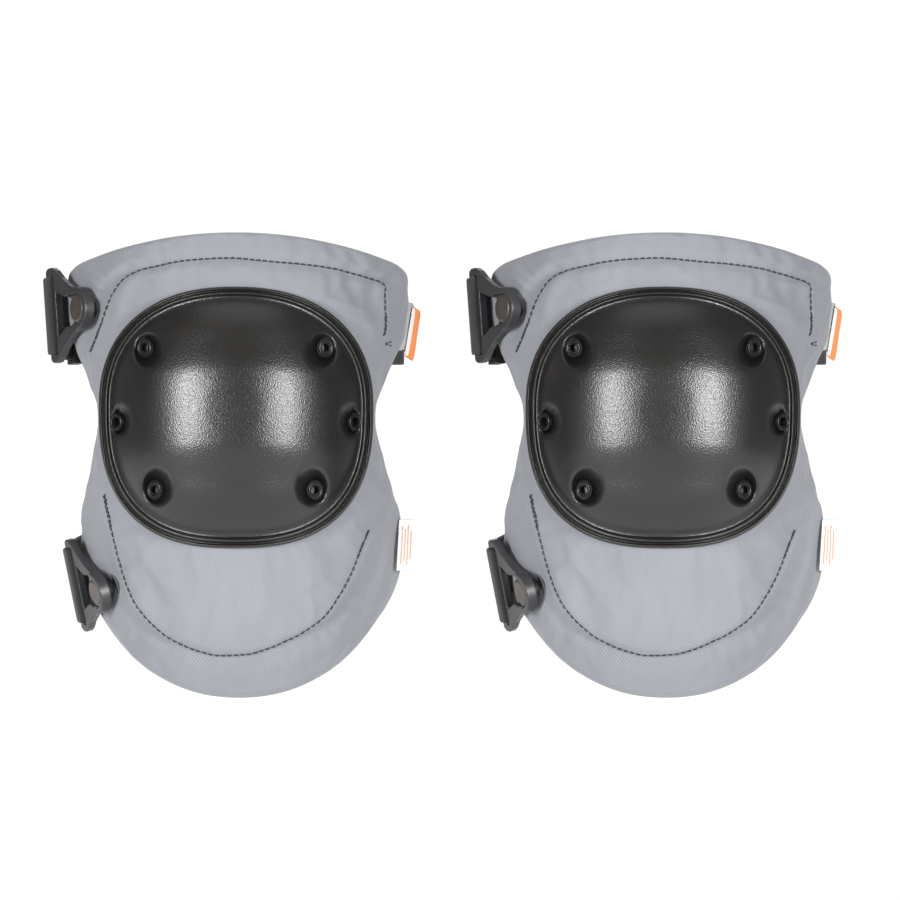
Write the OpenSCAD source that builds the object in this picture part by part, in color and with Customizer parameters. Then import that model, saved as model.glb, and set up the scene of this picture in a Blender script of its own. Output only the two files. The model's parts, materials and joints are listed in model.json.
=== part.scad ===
// A pair of hard-cap knee pads: padded fabric bodies, riveted caps, and two straps a pad that hook on studs.
// Frame of one pad: X across, Z up the leg, Y back towards the leg; the knee's centre is the origin.

/* [Pair] */
// Distance between the centrelines of the two pads
pad_pitch = 214.5; // [212:0.5:260]

/* [Pad body] */
// Width across the upper wings
pad_w = 170; // [164:1:174]
// Height of the pad above the knee's centre
pad_top = 93; // [88:1:98]
// Depth of the pad below the knee's centre
pad_low = 141; // [134:1:148]
// Thickness of the padding at its middle
pad_t = 14; // [11:0.5:16]
// Thickness of the cover and of the lining
skin_t = 1.2; // [0.8:0.1:1.6]
// How far the padding's middle lies in front of the knee's centre
knee_gap = 60; // [55:1:65]

/* [Cap] */
// Width of the cap
cap_w = 138; // [134:1:142]
// Height of the cap
cap_h = 130.5; // [126:0.5:134]
// How far the cap's middle stands off the fabric
cap_rise = 21; // [17:0.5:25]
// Wall of the cap
cap_wall = 2.8; // [2.2:0.1:3.4]

/* [Fastening] */
// Width of the webbing
strap_w = 39; // [34:0.5:39.5]
// Thickness of one layer of webbing
strap_t = 1.4; // [1.2:0.1:1.5]
// Thickness of the hook plate
hook_t = 4; // [3.5:0.1:4]
// Travel that takes the hook off its stud
hook_travel = 13; // [12.8:0.1:13.4]

/* [Hidden] */
SIDES = ["left", "right"];
PAD_NODES = [
    "cover", "foam", "lining", "knee_cushion", "cap", "cap_rivets", "rivet_washers",
    "upper_stud_base", "lower_stud_base", "upper_stud", "lower_stud", "stud_washers",
    "upper_hook", "lower_hook", "upper_strap", "lower_strap", "upper_strap_end", "lower_strap_end",
    "upper_strap_loop", "lower_strap_loop", "upper_keeper", "lower_keeper",
    "strap_tab", "edge_label", "care_label"
];
NODES = [for (side = SIDES) for (name = PAD_NODES) str(side, "_", name)];
node = "all";
$fn = 48;

// Curve of the padding's middle surface: an elliptic arch that narrows down the shin and bends back at both ends.
arch_d = 120;
arch_top_w = 96;
arch_low_w = 84;
arch_top_z = 20;
arch_low_z = -100;
bend_top_z = 40;
bend_top_r = 260;
bend_low_z = -30;
bend_low_r = 270;

// Right half of the pad's outline, from the top middle down, in parts of half the width and of the height each way.
outline_parts = [
    [0, 1], [0.33, 0.982], [0.635, 0.93], [0.85, 0.871], [0.96, 0.825], [1, 0.745], [0.985, 0.48],
    [0.88, 0.225], [0.81, 0.02], [0.86, -0.16], [0.935, -0.38], [0.915, -0.585],
    [0.776, -0.752], [0.565, -0.89], [0.294, -0.975], [0, -1]
];
outline_steps = 2;
// The lower half stands a little to one side of the upper half.
lower_shift = 1.5;
shift_z = 60;
pad_middle = [0, -10];
ring_parts = [0.22, 0.43, 0.61, 0.75, 0.85, 0.92, 0.965, 0.99, 1];
puff_power = 10;
seam_inset = 0.988;

// Superellipse of the cap's outline: its widest line lies above its middle.
cap_wide_z = 5;
cap_top_power = 2.3;
cap_low_power = 2.6;
cap_sides = 40;
// Cap profile from the middle to the rim: [part of the way out, height off the fabric].
cap_dome = [[0.25, 0.98], [0.45, 0.9], [0.62, 0.76], [0.74, 0.58], [0.83, 0.38], [0.9, 0.16]];
cap_rim = [[0.925, 3.2], [0.944, 4.4], [0.967, 2.6], [0.984, 3.6], [1, 2], [0.996, 0.3]];
rivet_spots = [[-43, 35], [43, 35], [-57, -2], [57, -2], [-38, -36], [38, -36]];
rivet_seat = 3;
rivet_hole_r = 3.3;

// Stud and hook, in the hook's own plane: x from the bar to the tip, y along the bar, z off the fabric.
hook_z = 1.6;
bar_x = -27;
bar_half = 2.2;
// The webbing leaves the bar at one angle to the hook's normal and curves round the pad's edge to another.
lean_out = [80, 80];
lean_back = [5, 5];
curve_r = [18, 18];
loop_len = 5.5;
end_gap = 0.4;
run_gap = 2.5;
keeper_len = 6;
keeper_wall = 1.6;
keeper_travel = 7;
end_tail = keeper_len + keeper_travel + 1.5;

function clamp01(v) = min(max(v, 0), 1);
function smooth(v) = clamp01(v) * clamp01(v) * (3 - 2 * clamp01(v));
function unit(v) = v / norm(v);
function mirrored(pts) = concat(pts, [for (i = [len(pts) - 2:-1:1]) [-pts[i].x, pts[i].y]]);

// Catmull-Rom curves, closed and open.
function cr(a, b, c, d, u) =
    0.5 * ((2 * b) + (c - a) * u + (2 * a - 5 * b + 4 * c - d) * u * u + (3 * b - a - 3 * c + d) * u * u * u);
function closed_curve(p, steps) = [
    for (i = [0:len(p) - 1]) for (k = [0:steps - 1])
        let (n = len(p)) cr(p[(i + n - 1) % n], p[i], p[(i + 1) % n], p[(i + 2) % n], k / steps)
];
function open_curve(p, steps) = concat([
    for (i = [0:len(p) - 2]) for (k = [0:steps - 1])
        cr(p[max(i - 1, 0)], p[i], p[i + 1], p[min(i + 2, len(p) - 1)], k / steps)
], [p[len(p) - 1]]);

// Middle surface of the padding.
function arch_w(z) = arch_top_w + (arch_low_w - arch_top_w) * smooth((arch_top_z - z) / (arch_top_z - arch_low_z));
function bend(z) =
    z > bend_top_z ? pow(z - bend_top_z, 2) / (2 * bend_top_r)
    : z < bend_low_z ? pow(bend_low_z - z, 2) / (2 * bend_low_r) : 0;
function depth(x, z) = arch_d * (1 - sqrt(1 - pow(x / arch_w(z), 2))) + bend(z) - knee_gap;
function slope_x(x, z) = depth(x + 0.5, z) - depth(x - 0.5, z);
function slope_z(x, z) = depth(x, z + 0.5) - depth(x, z - 0.5);
function facing(p) = unit([slope_x(p.x, p.y), -1, slope_z(p.x, p.y)]);
function off_middle(p, off) = [p.x, depth(p.x, p.y), p.y] + off * facing(p);
// A point at the same place in the front view, off the fabric's front by h.
function off_fabric(p, h) = [p.x, depth(p.x, p.y) + (pad_t / 2 + h) / facing(p).y, p.y];

outline = [
    for (p = closed_curve(mirrored([
        for (q = outline_parts) [q.x * pad_w / 2, q.y * (q.y > 0 ? pad_top : pad_low)]
    ]), outline_steps)) p + [lower_shift * smooth(-p.y / shift_z), 0]
];
function ring_at(t) = [for (p = outline) pad_middle + t * (p - pad_middle)];
function puff(t) = pad_t / 2 * sqrt(1 - pow(t, puff_power));
function pad_ring(t, face) = [for (p = ring_at(t)) off_middle(p, face * puff(t))];
function core_ring(t, face) = [for (p = ring_at(t * seam_inset)) off_middle(p, face * max(puff(t) - skin_t, 0))];
function pad_rings(face) = [for (t = ring_parts) pad_ring(t, face)];
function core_rings(face) = [for (t = ring_parts) core_ring(t, face)];
function reversed(v) = [for (i = [len(v) - 1:-1:0]) v[i]];
function all_but_last(v) = [for (i = [0:len(v) - 2]) v[i]];

// A closed solid from rings of equal length that run from one pole to the other. From the ring named turn on,
// each cell is split along its other diagonal, so that skins that share a surface share its triangles.
module ringed(first, rings, last, turn = 1000) {
    m = len(rings[0]);
    n = len(rings);
    function at(k, j) = 1 + k * m + j % m;
    points = concat([first], [for (r = rings) each r], [last]);
    faces = concat(
        [for (j = [0:m - 1]) [0, at(0, j), at(0, j + 1)]],
        [for (k = [0:n - 2]) for (j = [0:m - 1]) each k < turn
            ? [[at(k, j), at(k + 1, j), at(k + 1, j + 1)], [at(k, j), at(k + 1, j + 1), at(k, j + 1)]]
            : [[at(k, j), at(k + 1, j), at(k, j + 1)], [at(k + 1, j), at(k + 1, j + 1), at(k, j + 1)]]],
        [for (j = [0:m - 1]) [at(n - 1, j), n * m + 1, at(n - 1, j + 1)]]
    );
    polyhedron(points, faces, convexity = 6);
}

module cover() {
    color("lightslategray")
        ringed(off_middle(pad_middle, puff(0)), concat(pad_rings(1), reversed(core_rings(1))),
            off_middle(pad_middle, puff(0) - skin_t), turn = len(ring_parts) - 1);
}

module lining() {
    color("dimgray")
        ringed(off_middle(pad_middle, skin_t - puff(0)), concat(core_rings(-1), reversed(pad_rings(-1))),
            off_middle(pad_middle, -puff(0)), turn = len(ring_parts));
}

module foam() {
    color("lightgray")
        ringed(off_middle(pad_middle, puff(0) - skin_t),
            concat(core_rings(1), reversed(all_but_last(core_rings(-1)))),
            off_middle(pad_middle, skin_t - puff(0)), turn = len(ring_parts) - 1);
}

// Raised oval cushion on the lining, where the kneecap rests.
cushion_r = [46, 52];
cushion_t = 6;
cushion_gap = 0.8;
cushion_parts = [[0.5, 0.95], [0.8, 0.7], [0.95, 0.35], [1, 0.05]];
function cushion_ring(t, h) = [
    for (a = [0:10:350]) off_middle([t * cushion_r.x * sin(a), t * cushion_r.y * cos(a)], -pad_t / 2 - h)
];
module knee_cushion() {
    color("gray")
        ringed(off_middle([0, 0], -pad_t / 2 - cushion_gap),
            concat([for (q = cushion_parts) cushion_ring(q.x, cushion_gap)],
                reversed([for (q = cushion_parts) cushion_ring(q.x, cushion_gap + cushion_t * q.y)])),
            off_middle([0, 0], -pad_t / 2 - cushion_gap - cushion_t));
}

// Cap.
cap_top_h = cap_h / 2 - cap_wide_z;
cap_low_h = cap_h / 2 + cap_wide_z;
function signed_pow(v, p) = sign(v) * pow(abs(v), p);
function cap_edge(a) =
    let (n = cos(a) > 0 ? cap_top_power : cap_low_power)
    [cap_w / 2 * signed_pow(sin(a), 2 / n), (cos(a) > 0 ? cap_top_h : cap_low_h) * signed_pow(cos(a), 2 / n)];
function cap_ring(t, h) = [
    for (j = [0:cap_sides - 1]) off_fabric([0, cap_wide_z] + t * cap_edge(j * 360 / cap_sides), h)
];
function dome_h(q) = q.y * cap_rise;
module cap_dome_solid() {
    ringed(off_fabric([0, cap_wide_z], cap_rise),
        concat([for (q = cap_dome) cap_ring(q.x, dome_h(q))], [cap_ring(0.91, 0.3)]),
        off_fabric([0, cap_wide_z], 0.3));
}
module cap_shell() {
    ringed(off_fabric([0, cap_wide_z], cap_rise),
        concat(
            [for (q = cap_dome) cap_ring(q.x, dome_h(q))],
            [for (q = cap_rim) cap_ring(q.x, q.y)],
            [cap_ring(0.9, 0.3)],
            reversed([for (q = cap_dome) cap_ring(q.x - 0.03, max(dome_h(q) - cap_wall, 0.5))])),
        off_fabric([0, cap_wide_z], cap_rise - cap_wall));
}
// Puts children on the fabric at a rivet, with +Z off the fabric.
module at_rivets() {
    for (p = rivet_spots) {
        n = facing(p);
        translate(off_fabric(p, 0)) multmatrix(axes_matrix(unit(cross([0, 0, 1], n)), n)) children();
    }
}
function axes_matrix(x, z) = let (y = cross(z, x)) [
    [x.x, y.x, z.x, 0], [x.y, y.y, z.y, 0], [x.z, y.z, z.z, 0], [0, 0, 0, 1]
];
cup_foot_r = 7.4;
cup_top_r = 13.5;
cup_h = 13;
seat_r = 5.2;
mouth_r = 13.8;
module cap() {
    color("#2b2927")
        resize([0, 0, 0])
            difference() {
                union() {
                    cap_shell();
                    intersection() {
                        cap_dome_solid();
                        at_rivets() translate([0, 0, 0.4]) cylinder(h = cup_h, r1 = cup_foot_r, r2 = cup_top_r, $fn = 24);
                    }
                }
                at_rivets() translate([0, 0, rivet_seat])
                    cylinder(h = cup_h, r1 = seat_r, r2 = mouth_r, $fn = 24);
                at_rivets() translate([0, 0, -2]) cylinder(h = 12, r = rivet_hole_r, $fn = 24);
            }
}

// Hollow rivets: a rolled head on the seat, a tube through the cap and the cover.
rivet_head_r = 4.7;
rivet_bore_r = 2.2;
rivet_tube_r = 3.1;
rivet_low = -3.2;
module cap_rivets() {
    color("#1c1c1d")
        at_rivets() rotate_extrude() union() {
            translate([rivet_bore_r, rivet_low]) square([rivet_tube_r - rivet_bore_r, rivet_seat + 1 - rivet_low]);
            translate([rivet_bore_r, rivet_seat + 0.05]) square([rivet_head_r - rivet_bore_r, 1]);
            translate([rivet_tube_r + 0.4, rivet_seat + 1.05]) circle(r = 0.7);
        }
}
washer_r = 8;
module rivet_washers() {
    color("silver")
        at_rivets() translate([0, 0, rivet_low + 0.2]) difference() {
            cylinder(h = 1, r = washer_r);
            translate([0, 0, -1]) cylinder(h = 3, r = rivet_tube_r + 0.05);
        }
}

// Fastening frames: where each stud stands and how its hook is turned.
stud_spots = [[-70.6, 54.9], [-60.4, -85.6]];
stud_off = [6.2, 7.2];
hook_yaw = [57, 66];
hook_pitch = [0, 15];
hook_roll = [7.5, -7];
function hook_n(i) =
    [-sin(hook_yaw[i]) * cos(hook_pitch[i]), -cos(hook_yaw[i]) * cos(hook_pitch[i]), -sin(hook_pitch[i])];
function hook_up(i) = let (n = hook_n(i)) unit([0, 0, 1] - n.z * n);
function hook_x(i) = cross(hook_up(i), hook_n(i)) * cos(hook_roll[i]) + hook_up(i) * sin(hook_roll[i]);
function hook_y(i) = cross(hook_n(i), hook_x(i));
function stud_seat(i) = off_middle(stud_spots[i], stud_off[i]);
module at_stud(i) {
    translate(stud_seat(i)) multmatrix(axes_matrix(hook_x(i), hook_n(i))) children();
}

stud_post_r = 3.6;
stud_head_r = 6.9;
stud_head_z = 4.6;
stud_head_t = 1.2;
stud_base_r = [6.4, 5.2];
stud_base_z = [-2.4, -3.4];
stud_base_top = 1.2;
stud_post_z = -1.3;
head_bevel = [0.7, 1.2];
module stud_base(i) {
    color("#232426")
        at_stud(i) difference() {
            translate([0, 0, stud_base_z[i]]) cylinder(h = stud_base_top - stud_base_z[i], r = stud_base_r[i]);
            translate([0, 0, stud_post_z - 0.1]) cylinder(h = 5, r = stud_post_r + 0.08);
        }
}
module stud(i) {
    color("#6b6562")
        at_stud(i) union() {
            translate([0, 0, stud_post_z]) cylinder(h = stud_head_z + 0.1 - stud_post_z, r = stud_post_r);
            translate([0, 0, stud_head_z]) cylinder(h = stud_head_t, r = stud_head_r);
            translate([0, 0, stud_head_z + stud_head_t])
                cylinder(h = head_bevel.x, r1 = stud_head_r, r2 = stud_head_r - head_bevel.y);
        }
}
module stud_washers() {
    color("silver")
        for (i = [0, 1]) at_stud(i) translate([0, 0, stud_base_z[i] - 1.1]) difference() {
            cylinder(h = 1, r = 8);
            translate([0, 0, -1]) cylinder(h = 3, r = 2);
        }
}

// Hook: a three-cornered plate with a pocket for the stud's head, a wide opening that lets it out,
// and a slot behind the bar for the webbing.
pocket_r = 7.6;
pocket_z = 3;
stem_r = 4.1;
tip_r = 10.8;
collar_h = 1.7;
slot_x = [bar_x + bar_half, bar_x + bar_half + 2.6];
slot_y = 20.2;
neck = [-8.6, 5.8];
mouth = [-(hook_travel + stud_head_r + 0.7), 11.6];
arm_outline = [
    [3.2, 10.3], [-4, 11.5], [-9, 13.8], [-15.5, 18], [-20, 22.2], [-23.4, 24.2], [-27, 24.2], [-29.2, 22.6],
    [-29.2, slot_y + 0.6]
];
module hook_plan() {
    union() {
        circle(r = tip_r);
        polygon(concat(arm_outline, reversed([for (p = arm_outline) [p.x, -p.y]])));
    }
}
// Opening that narrows from the mouth to the neck, cut through the whole plate.
module hook_mouth() {
    translate([0, 0, -1]) linear_extrude(12)
        polygon([neck, mouth, [mouth.x, -mouth.y], [neck.x, -neck.y]]);
}
// Straight channel with a round end, from the stud's seat towards the mouth.
module hook_channel(r, z) {
    translate([0, 0, z]) cylinder(h = 12, r = r);
    translate([-14, -r, z]) cube([14, 2 * r, 12]);
}
module hook(i) {
    color("#5c5d5f")
        at_stud(i) union() {
            difference() {
                translate([0, 0, hook_z]) linear_extrude(hook_t) hook_plan();
                hook_mouth();
                hook_channel(stem_r, -1);
                hook_channel(pocket_r, pocket_z);
                for (s = [-1, 1]) translate([-7.4, s * 7.3, pocket_z - 1.2]) cylinder(h = 8, r = 1.2);
                translate([slot_x[0], -slot_y, -1]) cube([slot_x[1] - slot_x[0], 2 * slot_y, 12]);
            }
            translate([0, 0, hook_z + hook_t]) difference() {
                cylinder(h = collar_h, r = tip_r);
                translate([0, 0, -1]) cylinder(h = 4, r = pocket_r);
                translate([-20, -20, -1]) cube([20, 40, 4]);
            }
        }
}

// Webbing. A band is a path in the hook's x-z plane, thickened by one layer.
function side_step(p, i) =
    let (d = unit(p[min(i + 1, len(p) - 1)] - p[max(i - 1, 0)])) [-d.y, d.x];
function band_outline(p, t) = concat(
    [for (i = [0:len(p) - 1]) p[i] + side_step(p, i) * t / 2],
    [for (i = [len(p) - 1:-1:0]) p[i] - side_step(p, i) * t / 2]
);
function curve_len(i) = curve_r[i] * (lean_out[i] - lean_back[i]) * PI / 180;
function curve_end(i) = loop_len + curve_len(i);
function lean_at(i, q) = lean_out[i] + clamp01((q - loop_len) / curve_len(i)) * (lean_back[i] - lean_out[i]);
function lean_dir(i, q) = [-sin(lean_at(i, q)), -cos(lean_at(i, q))];
function route(i, q) =
    let (a = lean_out[i], b = lean_at(i, q))
    [bar_x, hook_z - 1] + min(q, loop_len) * lean_dir(i, 0)
        + curve_r[i] * [cos(a) - cos(b), sin(b) - sin(a)]
        + max(q - curve_end(i), 0) * lean_dir(i, q);
function along_strap(i, q, off) = let (d = lean_dir(i, q)) route(i, q) + off * [-d.y, d.x];
bar_clear = 0.25 + strap_t / 2;
bar_top = hook_z + hook_t + bar_clear;
bar_side = bar_half + bar_clear;
function over_bar(side, z) = [
    [bar_x + side * bar_side, z], [bar_x + side * bar_side, bar_top - 1.7],
    [bar_x + side * (bar_side - 0.36), bar_top - 0.36], [bar_x + side * (bar_side - 1.7), bar_top + 0.1]
];
function leg_end(i, q, side) = along_strap(i, q, side * (strap_t / 2 + 0.12));
function loop_path(i) = open_curve(concat(
    [leg_end(i, loop_len, -1), leg_end(i, loop_len - 1, -1)], over_bar(-1, hook_z + 1),
    [[bar_x, bar_top + 0.15]],
    reversed(over_bar(1, hook_z - 0.3)), [[bar_x + 1.5, hook_z - 1.85]],
    [leg_end(i, loop_len - 2.5, 1), leg_end(i, loop_len, 1)]
), 3);
// Turns an x-z drawing into a solid that is centred on y = 0.
module across_bar(w) {
    translate([0, w / 2, 0]) rotate([90, 0, 0]) linear_extrude(w) children();
}
module strap_loop(i) {
    color("#2c2c2d") at_stud(i) across_bar(strap_w) polygon(band_outline(loop_path(i), strap_t));
}
end_q = loop_len + end_gap;
function end_stop(i) = curve_end(i) + end_tail;
end_steps = 10;
function end_side(i, off) = [for (k = [0:end_steps])
    along_strap(i, k < end_steps ? end_q + (curve_end(i) - end_q) * k / (end_steps - 1) : end_stop(i), off)];
module strap_end(i) {
    color("#2c2c2d")
        at_stud(i) across_bar(strap_w)
            polygon(concat(end_side(i, -strap_t - 0.05), reversed(end_side(i, strap_t + 0.05))));
}
module keeper(i) {
    c = along_strap(i, curve_end(i) + 0.5, 0);
    color("#1f1f20")
        at_stud(i) translate([c.x, 0, c.y]) rotate([0, 180 + lean_back[i], 0]) difference() {
            keeper_block(2 * strap_t + 0.7 + 2 * keeper_wall, strap_w + 0.8 + 2 * keeper_wall, 0, keeper_len);
            keeper_block(2 * strap_t + 0.7, strap_w + 0.8, -1, keeper_len + 2);
        }
}
module keeper_block(x, y, z, h) {
    translate([-x / 2, -y / 2, z]) cube([x, y, h]);
}

// The run of webbing from the folded end round the back of the leg to the other edge of the pad.
function strap_start(i) =
    let (c = along_strap(i, end_stop(i) + run_gap, 0))
    stud_seat(i) + hook_x(i) * c.x + hook_n(i) * c.y;
function strap_dir(i) = let (d = lean_dir(i, end_stop(i))) hook_x(i) * d.x + hook_n(i) * d.y;
upper_run = [
    [-32, 49, 49], [0, 55, 48], [32, 49, 47], [58, 34.5, 46.5], [73, 22, 46.5],
    [81, 15.5, 46.5], [83.6, 12, 46.5], [83.2, 9.2, 46.5], [81, 6.4, 46.5], [77, 1.2, 46.5], [72.3, -4.6, 46.5]
];
lower_run = [
    [-30, 52, -71.5], [0, 57, -71.5], [30, 52, -71], [52, 40, -71], [65, 29.5, -71],
    [69.5, 24, -71], [70, 18.5, -71], [67.5, 13, -71], [64.2, 7.5, -71], [61, 2.5, -71]
];
function run_path(i) = open_curve(
    concat([strap_start(i), strap_start(i) + 10 * strap_dir(i)], i == 0 ? upper_run : lower_run), 4);
run_turn = 20;
function run_up(i, k) = unit(hook_y(i) + smooth(k / run_turn) * ([0, 0, 1] - hook_y(i)));
function ribbon_ring(c, up, side, w, t) = [
    c - up * w / 2 - side * t / 2, c + up * w / 2 - side * t / 2,
    c + up * w / 2 + side * t / 2, c - up * w / 2 + side * t / 2
];
module strap(i) {
    p = run_path(i);
    n = len(p);
    rings = [for (k = [0:n - 1])
        let (up = run_up(i, k), d = unit(p[min(k + 1, n - 1)] - p[max(k - 1, 0)]), s = unit(cross(d, up)))
        ribbon_ring(p[k], unit(cross(s, d)), s, strap_w, strap_t)];
    color("#2c2c2d") ringed(p[0], rings, p[n - 1]);
}

// Fabric tab beside the upper strap's sewn end, and the two labels at the right edge.
function edge_tab(foot, dir, up, w, h, t) =
    let (s = unit(cross(dir, up))) [ribbon_ring(foot, up, s, h, t), ribbon_ring(foot + dir * w, up, s, h, t)];
module slab(foot, dir, up, w, h, t) {
    r = edge_tab(foot, unit(dir), unit(up), w, h, t);
    ringed(foot, r, foot + unit(dir) * w);
}
tab_up = [0.16, 0, 1];
module strap_tab() {
    color("lightslategray") slab([84.3, 2.5, 46.5], [0.4, 0.9, 0], tab_up, 12, 25, 1.4);
}
module edge_label() {
    color("darkorange") slab([88.6, 9.6, 42.6], [0.45, 0.85, 0], tab_up, 9, 26, 0.6);
}
module care_label() {
    color("white") slab([81, 2.5, -64.5], [0.75, 0.6, 0], [0.05, 0, 1], 11.5, 26, 0.5);
}

function wanted(side, name) = node == "all" || node == str(side, "_", name);
for (side = SIDES) translate([(side == "left" ? -1 : 1) * pad_pitch / 2, 0, 0]) {
    if (wanted(side, "cover")) cover();
    if (wanted(side, "foam")) foam();
    if (wanted(side, "lining")) lining();
    if (wanted(side, "knee_cushion")) knee_cushion();
    if (wanted(side, "cap")) cap();
    if (wanted(side, "cap_rivets")) cap_rivets();
    if (wanted(side, "rivet_washers")) rivet_washers();
    if (wanted(side, "upper_stud_base")) stud_base(0);
    if (wanted(side, "lower_stud_base")) stud_base(1);
    if (wanted(side, "upper_stud")) stud(0);
    if (wanted(side, "lower_stud")) stud(1);
    if (wanted(side, "stud_washers")) stud_washers();
    if (wanted(side, "upper_hook")) hook(0);
    if (wanted(side, "lower_hook")) hook(1);
    if (wanted(side, "upper_strap")) strap(0);
    if (wanted(side, "lower_strap")) strap(1);
    if (wanted(side, "upper_strap_end")) strap_end(0);
    if (wanted(side, "lower_strap_end")) strap_end(1);
    if (wanted(side, "upper_strap_loop")) strap_loop(0);
    if (wanted(side, "lower_strap_loop")) strap_loop(1);
    if (wanted(side, "upper_keeper")) keeper(0);
    if (wanted(side, "lower_keeper")) keeper(1);
    if (wanted(side, "strap_tab")) strap_tab();
    if (wanted(side, "edge_label")) edge_label();
    if (wanted(side, "care_label")) care_label();
}
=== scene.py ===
import json
import math

import bpy
import numpy as np
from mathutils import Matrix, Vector
from mathutils.bvhtree import BVHTree


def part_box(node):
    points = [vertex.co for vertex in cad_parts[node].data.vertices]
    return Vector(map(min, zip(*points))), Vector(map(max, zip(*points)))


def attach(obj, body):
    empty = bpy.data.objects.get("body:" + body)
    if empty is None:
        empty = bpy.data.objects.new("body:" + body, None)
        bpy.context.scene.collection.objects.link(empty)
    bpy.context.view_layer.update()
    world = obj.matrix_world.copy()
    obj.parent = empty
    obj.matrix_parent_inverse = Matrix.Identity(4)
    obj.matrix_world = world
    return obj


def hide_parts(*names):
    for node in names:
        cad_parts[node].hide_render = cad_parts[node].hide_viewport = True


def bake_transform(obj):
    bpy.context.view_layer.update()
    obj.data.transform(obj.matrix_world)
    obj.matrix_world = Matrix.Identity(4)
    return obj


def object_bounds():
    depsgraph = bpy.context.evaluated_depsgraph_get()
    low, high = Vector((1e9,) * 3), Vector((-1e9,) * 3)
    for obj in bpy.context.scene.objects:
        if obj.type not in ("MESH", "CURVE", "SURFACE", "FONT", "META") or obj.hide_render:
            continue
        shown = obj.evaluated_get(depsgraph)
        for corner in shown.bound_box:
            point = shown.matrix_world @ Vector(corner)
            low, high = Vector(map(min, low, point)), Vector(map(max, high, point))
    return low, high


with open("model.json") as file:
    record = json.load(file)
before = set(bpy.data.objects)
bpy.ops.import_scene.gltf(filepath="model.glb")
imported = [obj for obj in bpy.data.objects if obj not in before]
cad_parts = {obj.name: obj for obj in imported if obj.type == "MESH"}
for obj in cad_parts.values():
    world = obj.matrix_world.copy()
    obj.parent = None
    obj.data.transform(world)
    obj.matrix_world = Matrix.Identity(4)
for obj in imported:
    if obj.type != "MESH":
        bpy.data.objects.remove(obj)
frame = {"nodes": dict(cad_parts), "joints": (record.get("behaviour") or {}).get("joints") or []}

# Lengths are in millimetres until a mesh is made. Each pad is built in its own frame (X across, Z up the leg,
# Y back towards the leg, the knee's centre at the origin), and then set at the left and at the right.
MM = 0.001
cad_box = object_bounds()
rng = np.random.default_rng(11)
SIDES = ("left", "right")
JOINTS = {joint["name"]: joint for joint in frame["joints"]}


def middle_x(side):
    low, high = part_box(f"{side}_cap")
    return (low.x + high.x) / 2 / MM


PAD_X = {side: middle_x(side) for side in SIDES}

# ---------------------------------------------------------------- shape of the padding
PAD_W, PAD_TOP, PAD_LOW, PAD_T, KNEE_GAP = 170, 93, 141, 14, 60
ARCH_D, ARCH_TOP_W, ARCH_LOW_W, ARCH_TOP_Z, ARCH_LOW_Z = 120, 96, 84, 20, -100
BEND_TOP_Z, BEND_TOP_R, BEND_LOW_Z, BEND_LOW_R = 40, 260, -30, 270
OUTLINE_PARTS = [
    (0, 1), (0.33, 0.982), (0.635, 0.93), (0.85, 0.871), (0.96, 0.825), (1, 0.745), (0.985, 0.48),
    (0.88, 0.225), (0.81, 0.02), (0.86, -0.16), (0.935, -0.38), (0.915, -0.585),
    (0.776, -0.752), (0.565, -0.89), (0.294, -0.975), (0, -1),
]
LOWER_SHIFT, SHIFT_Z = 1.5, 60
PAD_MIDDLE = np.array([0.0, -10.0])
PUFF_POWER = 10


def smooth(v):
    v = np.clip(v, 0, 1)
    return v * v * (3 - 2 * v)


def unit(v):
    v = np.asarray(v, float)
    return v / np.maximum(np.linalg.norm(v, axis=-1, keepdims=True), 1e-12)


def catmull(points, steps, closed=False):
    """Points on a Catmull-Rom curve through the given ones."""
    p = np.asarray(points, float)
    n = len(p)
    spans = n if closed else n - 1
    out = []
    for i in range(spans):
        pick = [(i + k) % n if closed else min(max(i + k, 0), n - 1) for k in (-1, 0, 1, 2)]
        a, b, c, d = (p[k] for k in pick)
        for u in np.arange(steps) / steps:
            out.append(0.5 * (2 * b + (c - a) * u + (2 * a - 5 * b + 4 * c - d) * u**2
                              + (3 * b - a - 3 * c + d) * u**3))
    if not closed:
        out.append(p[-1])
    return np.array(out)


def lengths_along(path):
    """How far along a path each of its points lies."""
    return np.concatenate([[0], np.cumsum(np.linalg.norm(np.diff(path, axis=0), axis=1))])


def resample(path, spacing):
    """Points at an even spacing along a path."""
    along = lengths_along(path)
    count = max(2, int(round(along[-1] / spacing)) + 1)
    wanted = np.linspace(0, along[-1], count)
    return np.stack([np.interp(wanted, along, path[:, k]) for k in range(path.shape[1])], 1)


def turns(count):
    """Angles spaced evenly round a circle."""
    return np.arange(count) * 2 * math.pi / count


def arch_w(z):
    return ARCH_TOP_W + (ARCH_LOW_W - ARCH_TOP_W) * smooth((ARCH_TOP_Z - z) / (ARCH_TOP_Z - ARCH_LOW_Z))


def depth(x, z):
    top = np.maximum(z - BEND_TOP_Z, 0) ** 2 / (2 * BEND_TOP_R)
    low = np.maximum(BEND_LOW_Z - z, 0) ** 2 / (2 * BEND_LOW_R)
    inside = np.maximum(1 - (x / arch_w(z)) ** 2, 1e-4)
    return ARCH_D * (1 - np.sqrt(inside)) + top + low - KNEE_GAP


def facing(x, z):
    """Outward direction of the padding's middle surface."""
    across = depth(x + 0.5, z) - depth(x - 0.5, z)
    up = depth(x, z + 0.5) - depth(x, z - 0.5)
    return unit(np.stack([across, -np.ones_like(across), up], -1))


def off_middle(x, z, off):
    x, z = np.asarray(x, float), np.asarray(z, float)
    return np.stack([x, depth(x, z), z], -1) + np.asarray(off)[..., None] * facing(x, z)


def off_fabric(x, z, h):
    """The point at the same place in the front view, off the fabric's front by h."""
    x, z = np.asarray(x, float), np.asarray(z, float)
    n = facing(x, z)
    return np.stack([x, depth(x, z) + (PAD_T / 2 + h) / n[..., 1], z], -1)


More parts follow.
